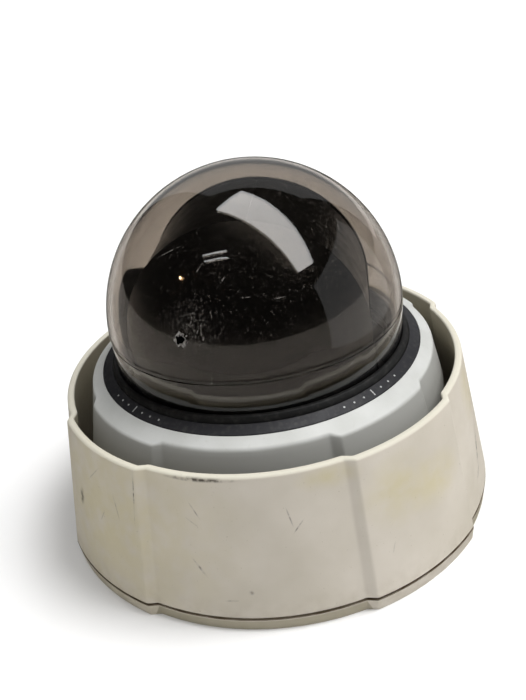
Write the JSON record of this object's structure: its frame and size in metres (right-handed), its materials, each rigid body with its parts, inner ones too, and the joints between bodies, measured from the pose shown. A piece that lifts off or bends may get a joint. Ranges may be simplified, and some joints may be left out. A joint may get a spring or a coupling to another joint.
{
  "type": "pan tilt zoom dome camera",
  "caption": "Outdoor pan, tilt and zoom security camera: a motorised head under a smoked dome, in a lobed housing with an open weather shield.",
  "frame": {"origin": "centre of the flat face that the camera rests on, which is its top when it hangs", "axes": "+Z along the pan axis towards the dome; -Y is where the lens looks at rest; X is the tilt axis"},
  "size_m": [0.2264, 0.2264, 0.1845],
  "materials": {
    "shield_paint": "moulded cream plastic, weathered",
    "ring_paint": "white powder coat",
    "cast_housing": "grey-painted die casting",
    "screw_steel": "bright zinc",
    "socket_plastic": "black moulding",
    "circuit_board": "green solder mask",
    "sheet_steel": "pressed and zinc-plated",
    "gasket_rubber": "soft black",
    "smoked_dome": "polished smoked plastic",
    "black_trim": "fine satin",
    "black_plastic": "fine satin",
    "button_plastic": "moulded grey",
    "machined_aluminium": "extruded",
    "motor_steel": "ground",
    "bearing_steel": "ground and polished",
    "drive_plastic": "natural acetal",
    "belt_rubber": "toothed",
    "bush_bronze": "sintered",
    "lens_aluminium": "black anodised",
    "optical_glass": "coated",
    "blade_steel": "blackened"
  },
  "bodies": {
    "base": {"mount_cap": "shield_paint", "weather_shield": "shield_paint", "cap_screws": "screw_steel", "housing": "cast_housing", "mount_flange": "cast_housing", "flange_screws": "screw_steel", "network_socket": "socket_plastic", "main_board": "circuit_board", "deck": "sheet_steel", "chassis_screws": "screw_steel", "ring_gasket": "gasket_rubber", "dome_ring": "ring_paint", "ring_screws": "screw_steel", "dome_gasket": "gasket_rubber", "dome_cover": "smoked_dome", "dome_lip": "gasket_rubber", "trim_ring": "black_trim", "bezel": "black_plastic", "service_board": "circuit_board", "heater": "machined_aluminium", "fan_frame": "black_plastic", "pan_motor": "motor_steel", "pan_bearing_outer": "bearing_steel", "slip_ring_stator": "socket_plastic", "pan_belt": "belt_rubber"},
    "ball_set": {"pan_bearing_balls": "bearing_steel"},
    "pan_drive": {"pan_motor_shaft": "motor_steel"},
    "turntable": {"pan_bearing_inner": "bearing_steel", "pan_pulley": "drive_plastic", "slip_ring_spindle": "drive_plastic", "pan_platform": "sheet_steel", "left_yoke_arm": "sheet_steel", "right_yoke_arm": "sheet_steel", "yoke_screws": "screw_steel", "tilt_bushes": "bush_bronze", "left_yoke_cover": "black_plastic", "right_yoke_cover": "black_plastic", "tilt_motor": "motor_steel", "tilt_belt": "belt_rubber"},
    "tilt_drive": {"tilt_motor_shaft": "motor_steel"},
    "camera_head": {"left_tilt_axle": "motor_steel", "right_tilt_axle": "motor_steel", "tilt_pulley": "drive_plastic", "head_front": "black_plastic", "head_rear": "black_plastic", "lens_barrel": "lens_aluminium", "front_lens": "optical_glass", "lens_ring": "lens_aluminium", "guide_rods": "motor_steel", "sensor_board": "circuit_board"},
    "zoom_group": {"zoom_carrier": "drive_plastic", "zoom_lens": "optical_glass"},
    "focus_group": {"focus_carrier": "drive_plastic", "focus_lens": "optical_glass"},
    "upper_blade": {"upper_iris_blade": "blade_steel"},
    "lower_blade": {"lower_iris_blade": "blade_steel"},
    "filter_slide": {"ir_cut_filter": "optical_glass"},
    "fan": {"fan_rotor": "black_plastic"},
    "control": {"control_button": "button_plastic"},
    "restart": {"restart_button": "button_plastic"}
  },
  "joints": [
    {"name": "pan_turn", "type": "hinge", "parent": "base", "child": "turntable", "pos_m": [0, 0, 0.05], "axis": [0, 0, 1], "continuous": true},
    {"name": "ball_orbit", "type": "hinge", "parent": "base", "child": "ball_set", "pos_m": [0, 0, 0.0385], "axis": [0, 0, 1], "continuous": true},
    {"name": "pan_motor_spin", "type": "hinge", "parent": "base", "child": "pan_drive", "pos_m": [-0.04243, 0.04243, 0.03], "axis": [0, 0, 1], "continuous": true},
    {"name": "tilt_swing", "type": "hinge", "parent": "turntable", "child": "camera_head", "pos_m": [0, 0, 0.11], "axis": [-1, 0, 0], "range_deg": [-20, 200]},
    {"name": "tilt_motor_spin", "type": "hinge", "parent": "turntable", "child": "tilt_drive", "pos_m": [0.04, 0, 0.083], "axis": [-1, 0, 0], "range_deg": [-60, 600]},
    {"name": "zoom_slide", "type": "slide", "parent": "camera_head", "child": "zoom_group", "axis": [0, 1, 0], "range_m": [0, 0.014]},
    {"name": "focus_slide", "type": "slide", "parent": "camera_head", "child": "focus_group", "axis": [0, 1, 0], "range_m": [-0.0015, 0.0015]},
    {"name": "iris_open", "type": "slide", "parent": "camera_head", "child": "upper_blade", "axis": [0, 0, 1], "range_m": [0, 0.004]},
    {"name": "iris_lower_open", "type": "slide", "parent": "camera_head", "child": "lower_blade", "axis": [0, 0, -1], "range_m": [0, 0.004]},
    {"name": "filter_shift", "type": "slide", "parent": "camera_head", "child": "filter_slide", "axis": [1, 0, 0], "range_m": [0, 0.014]},
    {"name": "fan_spin", "type": "hinge", "parent": "base", "child": "fan", "pos_m": [-0.02536, -0.05438, 0.038], "axis": [0, 0, 1], "continuous": true},
    {"name": "control_press", "type": "slide", "parent": "base", "child": "control", "axis": [0, 0, -1], "range_m": [0, 0.0005], "stiffness_N_per_m": 1500, "springref_m": -0.0003},
    {"name": "restart_press", "type": "slide", "parent": "base", "child": "restart", "axis": [0, 0, -1], "range_m": [0, 0.0005], "stiffness_N_per_m": 1500, "springref_m": -0.0003}
  ],
  "couplings": [
    {"joint": "ball_orbit", "follows": "pan_turn", "ratio": 0.4537},
    {"joint": "pan_motor_spin", "follows": "pan_turn", "ratio": 5},
    {"joint": "tilt_motor_spin", "follows": "tilt_swing", "ratio": 3},
    {"joint": "iris_lower_open", "follows": "iris_open", "ratio": 1}
  ]
}
